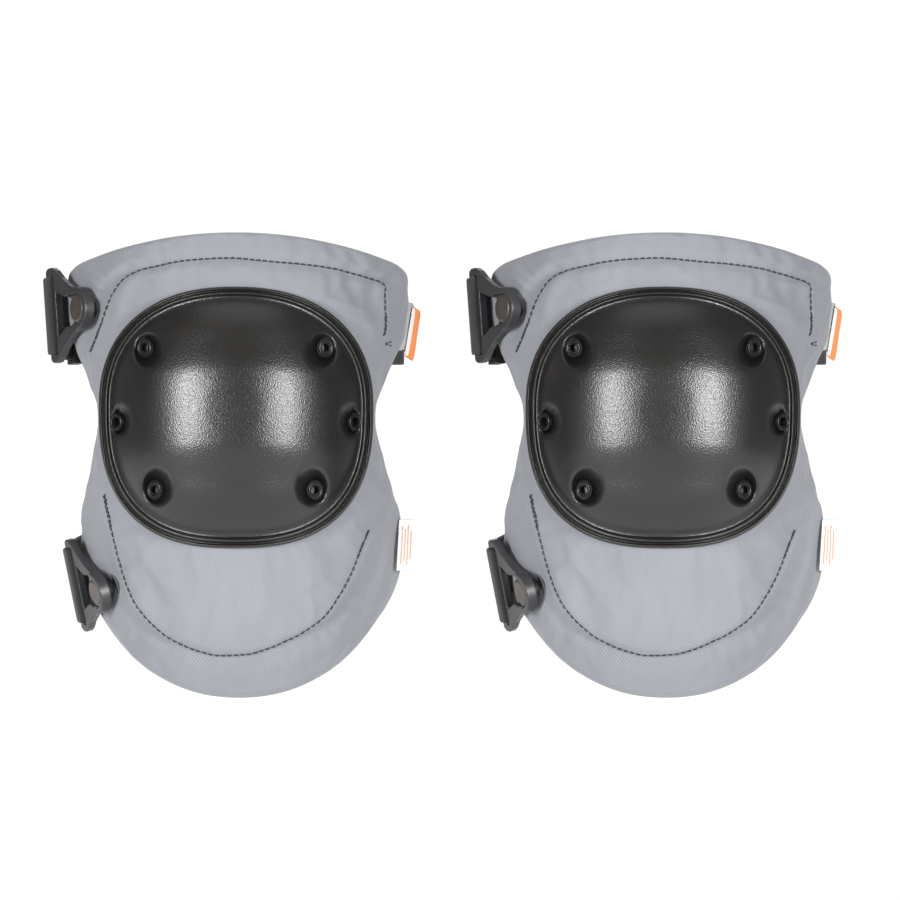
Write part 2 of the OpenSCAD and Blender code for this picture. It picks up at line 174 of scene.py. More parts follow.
def pad_outline(steps):
    right = [(q[0] * PAD_W / 2, q[1] * (PAD_TOP if q[1] > 0 else PAD_LOW)) for q in OUTLINE_PARTS]
    both = right + [(-x, z) for x, z in right[-2:0:-1]]
    curve = catmull(both, steps, closed=True)
    curve[:, 0] += LOWER_SHIFT * smooth(-curve[:, 1] / SHIFT_Z)
    return curve


def polyline_distance(points, path):
    """How far each 2-D point is from a path, and where along it, from 0 to 1, its nearest point lies."""
    best = np.full(len(points), 1e9)
    share = np.zeros(len(points))
    count = len(path) - 1
    for i in range(count):
        a, b = path[i], path[i + 1]
        d = b - a
        t = np.clip(((points - a) @ d) / max(d @ d, 1e-9), 0, 1)
        gap = np.linalg.norm(points - (a + t[:, None] * d), axis=1)
        near = gap < best
        best = np.where(near, gap, best)
        share = np.where(near, (i + t) / count, share)
    return best, share


# ---------------------------------------------------------------- meshes
def make_mesh(name, points, faces, uv=None, material=None):
    """A mesh object from points in a pad's frame, in millimetres. uv is each point's place on the cloth."""
    mesh = bpy.data.meshes.new(name)
    places = [tuple(p) for p in np.asarray(points, float) * MM]
    mesh.from_pydata(places, [], [tuple(int(i) for i in f) for f in faces])
    if uv is not None:
        layer = mesh.uv_layers.new(name="cloth")
        corner = np.zeros(len(mesh.loops), np.int32)
        mesh.loops.foreach_get("vertex_index", corner)
        layer.data.foreach_set("uv", np.asarray(uv, np.float32)[corner].ravel())
    mesh.polygons.foreach_set("use_smooth", [True] * len(mesh.polygons))
    if material:
        mesh.materials.append(material)
    mesh.update()
    made = bpy.data.objects.new(name, mesh)
    bpy.context.scene.collection.objects.link(made)
    return made


def grid_faces(rows, columns, wrap):
    """Quads of a grid whose points run row by row. wrap joins each row's end to its start."""
    faces = []
    last = columns if wrap else columns - 1
    for r in range(rows - 1):
        for c in range(last):
            d = (c + 1) % columns
            faces.append((r * columns + c, (r + 1) * columns + c, (r + 1) * columns + d, r * columns + d))
    return faces


def ringed(first, rings, last):
    """Points and faces of a closed form: a pole, rings of equal length, and a pole."""
    rows, columns = len(rings), len(rings[0])
    points = np.concatenate([np.concatenate(rings), [first], [last]])
    top, end = rows * columns, rows * columns + 1
    faces = grid_faces(rows, columns, True)
    faces += [(top, c, (c + 1) % columns) for c in range(columns)]
    base = (rows - 1) * columns
    faces += [(base + (c + 1) % columns, base + c, end) for c in range(columns)]
    return points, faces


def joined(parts):
    """Several (points, faces) forms as one."""
    points, faces, start = [], [], 0
    for p, f in parts:
        points.append(np.asarray(p, float))
        faces += [tuple(i + start for i in face) for face in f]
        start += len(p)
    return np.concatenate(points), faces


def flattened(obj):
    """The object's mesh with its modifiers applied."""
    shown = bpy.context.evaluated_depsgraph_get()
    result = obj.evaluated_get(shown)
    mesh = bpy.data.meshes.new_from_object(result, preserve_all_data_layers=True, depsgraph=shown)
    old = obj.data
    obj.modifiers.clear()
    obj.data = mesh
    bpy.data.meshes.remove(old)
    return obj


def subdivided(obj):
    modifier = obj.modifiers.new("smoother", "SUBSURF")
    modifier.levels = modifier.render_levels = 1
    modifier.use_limit_surface = False
    return flattened(obj)


def points_of(obj):
    co = np.zeros(len(obj.data.vertices) * 3)
    obj.data.vertices.foreach_get("co", co)
    return co.reshape(-1, 3) / MM


def set_points(obj, points):
    obj.data.vertices.foreach_set("co", (np.asarray(points) * MM).astype(np.float32).ravel())
    obj.data.update()


def tree_of(obj):
    faces = [tuple(f.vertices) for f in obj.data.polygons]
    return BVHTree.FromPolygons([tuple(p) for p in points_of(obj)], faces)


def placed(obj, side):
    """Moves a piece's mesh from its pad's frame to the pad's place."""
    p = points_of(obj)
    p[:, 0] += PAD_X[side]
    set_points(obj, p)
    return obj


def copied(obj, name):
    twin = bpy.data.objects.new(name, obj.data.copy())
    bpy.context.scene.collection.objects.link(twin)
    return twin


# ---------------------------------------------------------------- materials
class Paint:
    """A node-based material round one Principled shader."""

    def __init__(self, name, **sockets):
        self.material = bpy.data.materials.new(name)
        self.material.use_nodes = True
        self.nodes = self.material.node_tree.nodes
        self.links = self.material.node_tree.links
        self.shader = self.nodes["Principled BSDF"]
        for socket, value in sockets.items():
            self.shader.inputs[socket.replace("_", " ")].default_value = value
        self.coords = self.nodes.new("ShaderNodeTexCoord")

    def place(self, kind="Object", scale=(1, 1, 1), turn=0.0):
        mapping = self.nodes.new("ShaderNodeMapping")
        mapping.inputs["Scale"].default_value = scale
        mapping.inputs["Rotation"].default_value = (0, 0, turn)
        self.links.new(self.coords.outputs[kind], mapping.inputs["Vector"])
        return mapping.outputs["Vector"]

    def noise(self, scale, detail=3.0, vector=None, rough=0.55):
        node = self.nodes.new("ShaderNodeTexNoise")
        node.inputs["Scale"].default_value = scale
        node.inputs["Detail"].default_value = detail
        node.inputs["Roughness"].default_value = rough
        self.links.new(vector or self.place(), node.inputs["Vector"])
        return node.outputs["Fac"]

    def cells(self, scale, vector=None):
        node = self.nodes.new("ShaderNodeTexVoronoi")
        node.feature = "SMOOTH_F1"
        node.inputs["Scale"].default_value = scale
        self.links.new(vector or self.place(), node.inputs["Vector"])
        return node.outputs["Distance"]

    def wave(self, scale, vector, distortion=0.0, direction="X"):
        node = self.nodes.new("ShaderNodeTexWave")
        node.bands_direction = direction
        node.inputs["Scale"].default_value = scale
        node.inputs["Distortion"].default_value = distortion
        node.inputs["Detail"].default_value = 1.0
        node.inputs["Detail Scale"].default_value = 2.0
        self.links.new(vector, node.inputs["Vector"])
        return node.outputs["Fac"]

    def math(self, operation, a, b):
        node = self.nodes.new("ShaderNodeMath")
        node.operation = operation
        for socket, value in zip(node.inputs, (a, b)):
            if isinstance(value, (int, float)):
                socket.default_value = value
            else:
                self.links.new(value, socket)
        return node.outputs[0]

    def ramp(self, fac, low, high, start=0.0, end=1.0):
        node = self.nodes.new("ShaderNodeValToRGB")
        node.color_ramp.elements[0].position, node.color_ramp.elements[1].position = start, end
        node.color_ramp.elements[0].color, node.color_ramp.elements[1].color = (*low, 1), (*high, 1)
        self.links.new(fac, node.inputs["Fac"])
        return node.outputs["Color"]

    def spread(self, fac, low, high):
        node = self.nodes.new("ShaderNodeMapRange")
        node.inputs["To Min"].default_value, node.inputs["To Max"].default_value = low, high
        self.links.new(fac, node.inputs["Value"])
        return node.outputs["Result"]

    def colour(self, output):
        self.links.new(output, self.shader.inputs["Base Color"])
        return self

    def rough(self, output):
        self.links.new(output, self.shader.inputs["Roughness"])
        return self

    def bump(self, *layers):
        """Bumps, one after another: each is (height output, strength, distance in mm)."""
        previous = None
        for height, strength, distance in layers:
            node = self.nodes.new("ShaderNodeBump")
            node.inputs["Strength"].default_value = strength
            node.inputs["Distance"].default_value = distance * MM
            self.links.new(height, node.inputs["Height"])
            if previous:
                self.links.new(previous, node.inputs["Normal"])
            previous = node.outputs["Normal"]
        self.links.new(previous, self.shader.inputs["Normal"])
        return self


def srgb(r, g, b):
    """Linear colour from screen values of 0 to 255."""
    return tuple(((v / 255 + 0.055) / 1.055) ** 2.4 if v > 10 else v / 255 / 12.92 for v in (r, g, b))


def twill(name, dark, light):
    """Fine diagonal twill on a cloth map in millimetres, with fibre noise and faint soiling."""
    paint = Paint(name, Roughness=0.86, Sheen_Weight=0.25, Sheen_Roughness=0.5)
    cloth = paint.place("UV", turn=math.radians(-45))
    ribs = paint.wave(0.27, cloth, 0.45)
    threads = paint.wave(0.6, paint.place("UV", turn=math.radians(38)), 0.6)
    fibres = paint.noise(2.4, 4, paint.place("UV"))
    clouds = paint.noise(22, 3)
    weave = paint.math("ADD", paint.math("MULTIPLY", ribs, 0.42), paint.math("MULTIPLY", threads, 0.25))
    mix = paint.math("ADD", weave, paint.math("MULTIPLY", fibres, 0.5))
    tone = paint.math("ADD", paint.math("MULTIPLY", mix, 0.75), paint.math("MULTIPLY", clouds, 0.25))
    paint.colour(paint.ramp(tone, dark, light, 0.2, 0.85))
    paint.rough(paint.spread(fibres, 0.78, 0.95))
    return paint.bump((mix, 0.35, 0.18), (clouds, 0.15, 0.6)).material


def knit(name, dark, light):
    """Brushed knit lining: small loops in rows."""
    paint = Paint(name, Roughness=0.95, Sheen_Weight=0.5, Sheen_Roughness=0.6)
    cloth = paint.place("UV")
    loops = paint.cells(0.85, cloth)
    rows = paint.wave(0.32, cloth, 0.6, "Y")
    fuzz = paint.noise(2.0, 5, cloth, 0.7)
    mix = paint.math("ADD", paint.math("MULTIPLY", loops, 0.6), paint.math("MULTIPLY", rows, 0.25))
    mix = paint.math("ADD", mix, paint.math("MULTIPLY", fuzz, 0.3))
    paint.colour(paint.ramp(mix, dark, light, 0.15, 0.9))
    return paint.bump((mix, 0.5, 0.3)).material


def webbing(name):
    """Ribbed elastic: warp ribs along the strap and fine weft picks across it."""
    paint = Paint(name, Roughness=0.82, Sheen_Weight=0.3, Sheen_Roughness=0.5)
    ribs = paint.wave(0.25, paint.place("UV"), 0.05)
    picks = paint.wave(0.4, paint.place("UV"), 0.3, "Y")
    fibres = paint.noise(2.2, 4, paint.place("UV"))
    mix = paint.math("ADD", paint.math("MULTIPLY", ribs, 0.4), paint.math("MULTIPLY", picks, 0.3))
    mix = paint.math("ADD", mix, paint.math("MULTIPLY", fibres, 0.4))
    paint.colour(paint.ramp(mix, srgb(7, 7, 8), srgb(28, 28, 30), 0.2, 0.95))
    paint.rough(paint.spread(fibres, 0.7, 0.92))
    return paint.bump((mix, 0.6, 0.25)).material


def grained(name, dark, light, low, high, grain, depth_mm, gloss=0.5):
    """Moulded plastic with a pebble grain, a soft mottle and faint scuffs."""
    paint = Paint(name, Roughness=(low + high) / 2, Specular_IOR_Level=gloss)
    pebbles = paint.cells(grain)
    fine = paint.noise(grain * 1.7, 3)
    mottle = paint.noise(35, 4)
    scuffs = paint.noise(260, 5, paint.place(scale=(0.35, 1, 1.6)), 0.7)
    paint.colour(paint.ramp(mottle, dark, light, 0.25, 0.8))
    wear = paint.math("ADD", paint.math("MULTIPLY", scuffs, 0.6), paint.math("MULTIPLY", mottle, 0.4))
    paint.rough(paint.spread(wear, low, high))
    return paint.bump((pebbles, 0.75, depth_mm), (fine, 0.4, depth_mm * 0.6)).material


def metal(name, dark, light, metallic, low, high):
    paint = Paint(name, Metallic=metallic, Roughness=(low + high) / 2)
    streaks = paint.noise(900, 4, paint.place(scale=(1, 1, 0.25)))
    blotch = paint.noise(160, 3)
    paint.colour(paint.ramp(blotch, dark, light, 0.3, 0.75))
    paint.rough(paint.spread(streaks, low, high))
    return paint.bump((streaks, 0.12, 0.05)).material


def thread(name, dark, light):
    paint = Paint(name, Roughness=0.6, Sheen_Weight=0.2)
    twist = paint.wave(340, paint.place(scale=(1, 0.6, 0.8)), 0.3, "DIAGONAL")
    paint.colour(paint.ramp(twist, dark, light))
    return paint.bump((twist, 0.4, 0.08)).material


def ribbon_cloth(name, dark, light):
    """Woven label ribbon."""
    paint = Paint(name, Roughness=0.7, Sheen_Weight=0.3)
    warp = paint.wave(0.55, paint.place("UV"), 0.2)
    weft = paint.wave(0.55, paint.place("UV"), 0.2, "Y")
    mix = paint.math("MULTIPLY", paint.math("ADD", warp, weft), 0.5)
    paint.colour(paint.ramp(mix, dark, light, 0.1, 0.9))
    return paint.bump((mix, 0.4, 0.12)).material


LOOKS = {
    "twill": twill("twill", srgb(94, 96, 101), srgb(129, 131, 137)),
    # Painted light: the side tab's twill is the pad's own cloth painted lighter, standing in for light
    # falling on the tab.
    "tab": twill("tab_twill_painted_light", srgb(132, 133, 134), srgb(166, 167, 168)),
    "knit": knit("knit", srgb(26, 27, 30), srgb(62, 64, 69)),
    "cushion": knit("cushion_knit", srgb(44, 46, 50), srgb(92, 95, 101)),
    "webbing": webbing("elastic_webbing"),
    "cap": grained("cap_plastic", srgb(12, 11, 10), srgb(20, 18, 16), 0.28, 0.37, 1500, 0.15, 0.64),
    "hook": grained("hook_plastic", srgb(35, 35, 36), srgb(49, 49, 51), 0.32, 0.46, 1500, 0.05),
    "black": grained("black_plastic", srgb(20, 20, 21), srgb(36, 36, 38), 0.4, 0.6, 1600, 0.05),
    # Dark rivet metal. On the steel rivet washers it is painted shade that darkens the bores.
    "rivet": metal("rivet_metal", srgb(10, 10, 10), srgb(22, 21, 21), 0.2, 0.2, 0.36),
    "stud": metal("stud_metal", srgb(74, 68, 64), srgb(96, 89, 84), 0.7, 0.3, 0.48),
    "steel": metal("washer_steel", srgb(140, 142, 145), srgb(175, 177, 180), 1.0, 0.25, 0.45),
    "navy": thread("navy_thread", srgb(8, 9, 15), srgb(24, 26, 36)),
    "grey_thread": thread("grey_thread", srgb(120, 124, 132), srgb(168, 172, 180)),
    "dark_thread": thread("dark_thread", srgb(14, 14, 15), srgb(44, 44, 46)),
    "orange": ribbon_cloth("orange_ribbon", srgb(198, 98, 34), srgb(230, 138, 64)),
    "white": ribbon_cloth("white_ribbon", srgb(192, 190, 188), srgb(222, 220, 218)),
    "print": ribbon_cloth("pale_print", srgb(204, 150, 122), srgb(220, 172, 146)),
}

# ---------------------------------------------------------------- padding
UPPER_SEAM = [
    (-73.5, 33), (-67.5, 48), (-64.5, 56.5), (-60, 65), (-55.5, 70), (-48.5, 73.5),
    (-40, 75.5), (-24.5, 78.5), (-1.5, 79.5), (16, 78), (35, 76.5), (52, 74),
    (73, 68), (74.3, 65), (74.6, 56.5), (75, 46.5), (74, 41),
]
LOWER_SEAM = [
    (-66.5, -38.5), (-62, -59), (-57, -78), (-50.5, -93.5), (-39.5, -106), (-27.5, -113.5),
    (-13, -118.5), (-2.5, -119), (10.5, -117.5), (25, -112), (35.5, -106.5), (46, -98),
    (56.5, -81), (62.5, -66), (66.5, -56.5),
]
UPPER_SEAM = catmull(UPPER_SEAM, 6)
LOWER_SEAM = catmull(LOWER_SEAM, 6)
# What pulls the fabric in: the seams and their puckers, the rivets and the edge, with the back at a share.
SEAM_PULL, SEAM_REACH, SEAM_FADE, PULL_AT_ENDS = 3.0, 2.6, 0.06, 0.45
PUCKER, PUCKER_RATE, PUCKER_AT, PUCKER_END = 0.35, 210, 5, 18
BORE_PULL, BORE_REACH = 6.5, 2.6
EDGE_PULL, EDGE_AT, EDGE_REACH, EDGE_SPAN, BACK_SHARE = 0.5, 5, 2.2, 75, 0.25
RIPPLE, CLOTH_FRAMES, PUFF_FRONT, PUFF_BACK = 0.22, 20, 3.2, 1.2
# The back's cloth map is set this far from the front's.
BACK_UV = 400
CAP_W, CAP_H, CAP_RISE, CAP_WALL, CAP_WIDE_Z = 138, 130.5, 21, 2.8, 5
STUD_SPOTS = [(-70.6, 54.9), (-60.4, -85.6)]
CUSHION_R = (46, 52)
RIVET_SPOTS = [(-43, 35), (43, 35), (-57, -2), (57, -2), (-38, -36), (38, -36)]


def cap_curve(up):
    """The power and the reach of the cap's outline, above its widest line and below it."""
    reach = np.where(up, CAP_H / 2 - CAP_WIDE_Z, CAP_H / 2 + CAP_WIDE_Z)
    return np.where(up, 2.3, 2.6), reach


def cap_edge(angle):
    """The cap's outline, a superellipse whose widest line lies above its middle."""
    sine, cosine = np.sin(angle), np.cos(angle)
    power, reach = cap_curve(cosine > 0)
    x = CAP_W / 2 * np.sign(sine) * np.abs(sine) ** (2 / power)
    z = reach * np.sign(cosine) * np.abs(cosine) ** (2 / power)
    return np.stack([x, z], -1)


def inside_cap(points):
    """How far out each front-view point is, with 1 on the cap's edge."""
    p = points - np.array([0, CAP_WIDE_Z])
    power, reach = cap_curve(p[:, 1] > 0)
    return (np.abs(p[:, 0] / (CAP_W / 2)) ** power + np.abs(p[:, 1] / reach) ** power) ** (1 / power)


def ripples(points, seed):
    """A smooth random field of about unit size, from a few waves."""
    waves = np.random.default_rng(seed)
    total = np.zeros(len(points))
    for _ in range(14):
        way = waves.normal(size=2)
        pace = waves.uniform(0.08, 0.3)
        total += np.sin(points @ (way / np.linalg.norm(way) * pace) + waves.uniform(0, 6.3))
    return total / 14**0.5


def make_padding():
    """The padded body: twill front and knit back, closed at the edge seam, then puffed by simulation."""
    outline = pad_outline(7)
    columns = len(outline)
    out = 1 - (1 - np.linspace(0, 1, 46)[1:]) ** 1.25
    front, back, flat, shares = [], [], [], []
    for t in out:
        ring = PAD_MIDDLE + t * (outline - PAD_MIDDLE)
        puff = PAD_T / 2 * math.sqrt(max(1 - t**PUFF_POWER, 0))
        front.append(off_middle(ring[:, 0], ring[:, 1], puff))
        back.append(off_middle(ring[:, 0], ring[:, 1], -puff))
        flat.append(ring)
        shares.append(np.full(columns, t))
    rings = front + back[-2::-1]
    first = off_middle(PAD_MIDDLE[0], PAD_MIDDLE[1], PAD_T / 2)
    last = off_middle(PAD_MIDDLE[0], PAD_MIDDLE[1], -PAD_T / 2)
    points, faces = ringed(first, rings, last)
    plan = np.concatenate([np.concatenate(flat + flat[-2::-1]), [PAD_MIDDLE, PAD_MIDDLE]])
    share = np.concatenate([np.concatenate(shares + shares[-2::-1]), [0, 0]])
    is_front = np.zeros(len(points), bool)
    is_front[: len(front) * columns] = True
    is_front[-2] = True
    normal = facing(plan[:, 0], plan[:, 1]) * np.where(is_front, 1, -1)[:, None]

    # The seams pull the fabric in, with puckers that run away from the thread.
    pull = np.zeros(len(points))
    seam_gap = np.full(len(points), 1e9)
    for path in (UPPER_SEAM, LOWER_SEAM):
        gap, along = polyline_distance(plan, path)
        ends = smooth(along / SEAM_FADE) * smooth((1 - along) / SEAM_FADE)
        share_in = PULL_AT_ENDS + (1 - PULL_AT_ENDS) * ends
        pull += SEAM_PULL * share_in * np.exp(-((gap / SEAM_REACH) ** 2))
        near = np.exp(-((gap - PUCKER_AT) / PUCKER_AT) ** 2) * (gap < PUCKER_END)
        pull += PUCKER * np.sin(along * PUCKER_RATE) * near
        seam_gap = np.minimum(seam_gap, gap)
    for x, z in RIVET_SPOTS:
        out = np.hypot(plan[:, 0] - x, plan[:, 1] - z)
        pull += BORE_PULL * np.exp(-(out / BORE_REACH) ** 2) * is_front
    rim_gap = (1 - share) * EDGE_SPAN
    pull += EDGE_PULL * np.exp(-((rim_gap - EDGE_AT) / EDGE_REACH) ** 2)
    pull *= np.where(is_front, 1, BACK_SHARE)
    points = points - normal * pull[:, None]
    points += normal * (RIPPLE * ripples(plan, 3) * smooth(rim_gap / 8))[:, None]

    flat_x = np.linspace(0, 90, 181)
    steps = np.hypot(1, np.diff(depth(flat_x, 0.0)) / 0.5) * 0.5
    arc = np.concatenate([[0], np.cumsum(steps)])
    across = np.sign(plan[:, 0]) * np.interp(np.abs(plan[:, 0]), flat_x, arc)
    uv = np.stack([across + np.where(is_front, 0, BACK_UV), plan[:, 1]], 1)
    pad = make_mesh("left_padding", points, faces, uv)
    pad.data.materials.append(LOOKS["twill"])
    pad.data.materials.append(LOOKS["knit"])
    fronts = is_front & (share < 0.999)
    rows = [0 if any(fronts[i] for i in face) else 1 for face in faces]
    pad.data.polygons.foreach_set("material_index", rows)

    held = (share > 0.985) | (seam_gap < 1.3) & is_front | (inside_cap(plan) < 0.97) & is_front
    for x, z in STUD_SPOTS:
        held |= is_front & (np.hypot(plan[:, 0] - x, plan[:, 1] - z) < 11)
    held |= ~is_front & (np.hypot(plan[:, 0] / CUSHION_R[0], plan[:, 1] / CUSHION_R[1]) < 1.02)
    puff_up(pad, held, np.where(is_front, PUFF_FRONT, PUFF_BACK))
    return subdivided(pad)


def puff_up(obj, held, most):
    """Blows the fabric up between its held points, with each point's move capped at most, in millimetres."""
    before = points_of(obj)
    group = obj.vertex_groups.new(name="held")
    group.add([int(i) for i in np.nonzero(held)[0]], 1.0, "REPLACE")
    cloth = obj.modifiers.new("cloth", "CLOTH")
    settings = cloth.settings
    settings.vertex_group_mass = "held"
    settings.quality = 4
    settings.mass = 0.12
    settings.tension_stiffness = settings.compression_stiffness = 12
    settings.shear_stiffness = 4
    settings.bending_stiffness = 0.3
    settings.shrink_min = -0.018
    settings.use_pressure = True
    settings.uniform_pressure_force = 4
    settings.effector_weights.gravity = 0
    cloth.collision_settings.use_collision = False
    cloth.point_cache.frame_start, cloth.point_cache.frame_end = 1, CLOTH_FRAMES
    scene = bpy.context.scene
    for step in range(1, CLOTH_FRAMES + 1):
        scene.frame_set(step)
    flattened(obj)
    scene.frame_set(1)
    move = points_of(obj) - before
    length = np.linalg.norm(move, axis=1)
    most = np.broadcast_to(most, length.shape)
    shown = most * np.tanh(length / most)
    set_points(obj, before + move * (shown / np.maximum(length, 1e-9))[:, None])
    obj.vertex_groups.clear()


# ---------------------------------------------------------------- stitches
def bead(start, end, normal, radius, sides=6):
    """One stitch: a thread that rises from one hole, lies on the cloth and sinks into the next."""
    way = end - start
    length = np.linalg.norm(way)
    way = way / length
    side = np.cross(normal, way)
    side /= np.linalg.norm(side)
    lift = np.cross(way, side)
    rings = []
    for share, size, rise in ((0.02, 0.45, -0.9), (0.12, 0.85, -0.1), (0.35, 1, 0.7), (0.65, 1, 0.7),
                              (0.88, 0.85, -0.1), (0.98, 0.45, -0.9)):
        middle = start + way * length * share + lift * radius * rise
        turn = turns(sides)
        rings.append(middle + radius * size * (np.outer(np.cos(turn), side) + np.outer(np.sin(turn), lift)))
    return ringed(start - lift * radius, rings, end - lift * radius)


def stitch_run(path, tree, look_from, pitch, gap, radius, wander=0.05):
    """Stitches along a path in the front view, laid on the surface that tree holds."""
    points = resample(np.asarray(path, float), pitch)
    way = np.array([0, 1.0, 0]) if look_from == "front" else np.array([0, -1.0, 0])
    hits = []
    for x, z in points + rng.normal(0, wander, points.shape):
        place, normal, _, _ = tree.ray_cast(Vector((x, -200 * way[1], z)), Vector(way))
        if place is not None:
            hits.append((np.array(place), np.array(normal) * (1 if normal[1] * way[1] < 0 else -1)))
    beads = []
    for (a, na), (b, nb) in zip(hits[:-1], hits[1:]):
        length = np.linalg.norm(b - a)
        if length < pitch * 2.5:
            trim = (b - a) * (gap / 2 / length)
            beads.append(bead(a + trim, b - trim, unit(na + nb), radius))
    return beads


def end_of(path, share, far=False):
    """The stretch at the start of a path, or at its far end."""
    count = max(3, int(len(path) * share))
    return path[-count:] if far else path[:count]


# Pitch, gap and radius of each kind of stitch. A line's end has two rows more, set off to either side.
LINE_STITCH, END_STITCHES = (3.2, 0.06, 0.5), ((0.35, 2.1, 0.2, 0.42), (-0.3, 2.4, 0.2, 0.42))
TACK_STITCH, TACK_WANDER = (1.8, 0.1, 0.4), 0.03
ROLL_AT, ROLL_OUT, ROLL_PITCH, ROLL_TRIM, ROLL_THREAD = 0.972, 0.9, 3.0, 0.12, 0.3


def make_seams(pad):
    tree = tree_of(pad)
    beads = []
    for path in (UPPER_SEAM, LOWER_SEAM):
        beads += stitch_run(path, tree, "front", *LINE_STITCH)
        for far, share in ((False, 0.075), (True, 0.11)):
            for offset, *stitch in END_STITCHES:
                beads += stitch_run(end_of(path, share, far) + offset, tree, "front", *stitch)
    for tack in ([(78.2, 38.4), (74.8, 37.4)], [(78.2, 36.2), (74.8, 37.2)]):
        beads += stitch_run(tack, tree, "front", *TACK_STITCH, TACK_WANDER)
    points, faces = joined(beads)
    return make_mesh("left_seam_stitches", points, faces, material=LOOKS["navy"])


def make_edge_seam():
    """The rolled edge where cover and lining meet, with a close row of grey stitches."""
    outline = pad_outline(9)
    beads = []
    inner = PAD_MIDDLE + ROLL_AT * (outline - PAD_MIDDLE)
    path = resample(np.concatenate([inner, inner[:1]]), ROLL_PITCH)
    puff = PAD_T / 2 * math.sqrt(1 - ROLL_AT**PUFF_POWER)
    spots = off_middle(path[:, 0], path[:, 1], -puff - ROLL_OUT)
    normals = -facing(path[:, 0], path[:, 1])
    for a, b, n in zip(spots[:-1], spots[1:], normals[:-1]):
        gap = (b - a) * ROLL_TRIM
        beads.append(bead(a + gap, b - gap, n, ROLL_THREAD))
    points, faces = joined(beads)
    return make_mesh("left_edge_stitches", points, faces, material=LOOKS["grey_thread"])


# ---------------------------------------------------------------- cap
RIVET_SEAT, DIMPLE_R, DIMPLE_SLOPE, DIMPLE_BLEND, DIMPLE_FADE = 3.0, 5.6, 1.9, 0.9, 9
BORE_R, CAP_COLUMNS, CAP_STEP = 3.5, 200, 1.25
CREASE, CREASE_AT, CREASE_SPAN, CREASE_BOW = 0.115, 17, 21, 0.0012
CAP_PROFILE = [
    (0, 1), (0.12, 0.997), (0.25, 0.98), (0.45, 0.9), (0.62, 0.76), (0.74, 0.58), (0.83, 0.38), (0.89, 0.19),
]
CAP_RIM = [
    (0.905, 3.05), (0.92, 3.0), (0.932, 3.7), (0.944, 4.4), (0.955, 3.9), (0.965, 2.5), (0.972, 2.55),
    (0.981, 3.6), (0.99, 3.5), (0.999, 2.6), (1.001, 1.6), (0.998, 0.6), (0.993, 0.25), (0.97, 0.25),
]


def dimpled(x, z, h):
    """The cap's height h, creased above and below its front, and sunk round each rivet with a soft edge."""
    h = h * (1 - CREASE * smooth((np.abs(z - CAP_WIDE_Z + CREASE_BOW * x**2) - CREASE_AT) / CREASE_SPAN))
    for rx, rz in RIVET_SPOTS:
        axis = facing(np.array(rx, float), np.array(rz, float))
        seat = off_fabric(rx, rz, 0.0) + RIVET_SEAT * axis
        out = np.hypot((x - seat[0]) / -axis[1], z - seat[2])
        tilt = ((x - seat[0]) * axis[0] + (z - seat[2]) * axis[2]) / -axis[1]
        rise = (depth(x, z) - depth(seat[0], seat[2]) - tilt) * -axis[1]
        low = RIVET_SEAT + rise + DIMPLE_SLOPE * np.maximum(out - DIMPLE_R, 0)
        gap = h - low
        sunk = low + gap / 2 - np.sqrt((gap / 2) ** 2 + DIMPLE_BLEND**2)
        h = np.where(out < 20, np.minimum(h, sunk + DIMPLE_BLEND * smooth((out - DIMPLE_R) / DIMPLE_FADE)), h)
        h = h - BORE_PULL * smooth(BORE_R - out)
    return h


def make_cap():
    edge = cap_edge(turns(CAP_COLUMNS))
    dome = catmull(CAP_PROFILE, 6)
    dome = resample(np.stack([dome[:, 0] * CAP_W / 2, dome[:, 1] * CAP_RISE], 1), CAP_STEP)
    profile = np.stack([dome[:, 0] / (CAP_W / 2), dome[:, 1]], 1)[1:]
    rim = catmull(CAP_RIM, 3)
    rings = []
    for t, h in profile:
        p = np.array([0, CAP_WIDE_Z]) + t * edge
        height = dimpled(p[:, 0], p[:, 1], np.full(CAP_COLUMNS, h))
        rings.append(off_fabric(p[:, 0], p[:, 1], height))
    for t, h in rim:
        p = np.array([0, CAP_WIDE_Z]) + t * edge
        rings.append(off_fabric(p[:, 0], p[:, 1], np.full(CAP_COLUMNS, h)))
    inner = [q for q in profile[::-3] if q[1] > CAP_WALL + 0.8]
    for t, h in inner:
        p = np.array([0, CAP_WIDE_Z]) + (t - 0.02) * edge
        height = dimpled(p[:, 0], p[:, 1], np.full(CAP_COLUMNS, h)) - CAP_WALL
        rings.append(off_fabric(p[:, 0], p[:, 1], np.maximum(height, 0.3)))
    first = off_fabric(0, CAP_WIDE_Z, CAP_RISE)
    last = off_fabric(0, CAP_WIDE_Z, CAP_RISE - CAP_WALL)
    points, faces = ringed(first, rings, last)
    return subdivided(make_mesh("left_cap_shell", points, faces, material=LOOKS["cap"]))


# ---------------------------------------------------------------- knee cushion
CUSHION_LIFT, CUSHION_TOP, CUSHION_SEAM = 0.6, 7.0, 0.83


def oval(angle):
    """The cushion's outline in the front view."""
    return np.stack([CUSHION_R[0] * np.sin(angle), CUSHION_R[1] * np.cos(angle)], 1)


def make_cushion():
    """Oval knee cushion on the lining, with a stitched border and a soft crown."""
    rings, edge = [], oval(turns(96))
    crown = [(0.15, 6.3), (0.35, 6.1), (0.55, 5.6), (0.7, 4.7), (0.79, 3.1), (CUSHION_SEAM, 2.3), (0.87, 3.0),
             (0.93, 2.6), (0.975, 1.5), (1, 0.7), (0.985, 0.15), (0.9, 0.1)]
    for t, h in catmull(crown, 3):
        p = t * edge
        height = h + 0.25 * ripples(p, 5) * smooth((1 - t) * 6)
        rings.append(off_middle(p[:, 0], p[:, 1], -PAD_T / 2 - CUSHION_LIFT - height))
    first = off_middle(0.0, 0.0, -PAD_T / 2 - CUSHION_TOP)
    last = off_middle(0.0, 0.0, -PAD_T / 2 - CUSHION_LIFT)
    points, faces = ringed(first, rings, last)
    made = make_mesh("left_cushion", points, faces, uv=points[:, [0, 2]], material=LOOKS["cushion"])
    return subdivided(made)


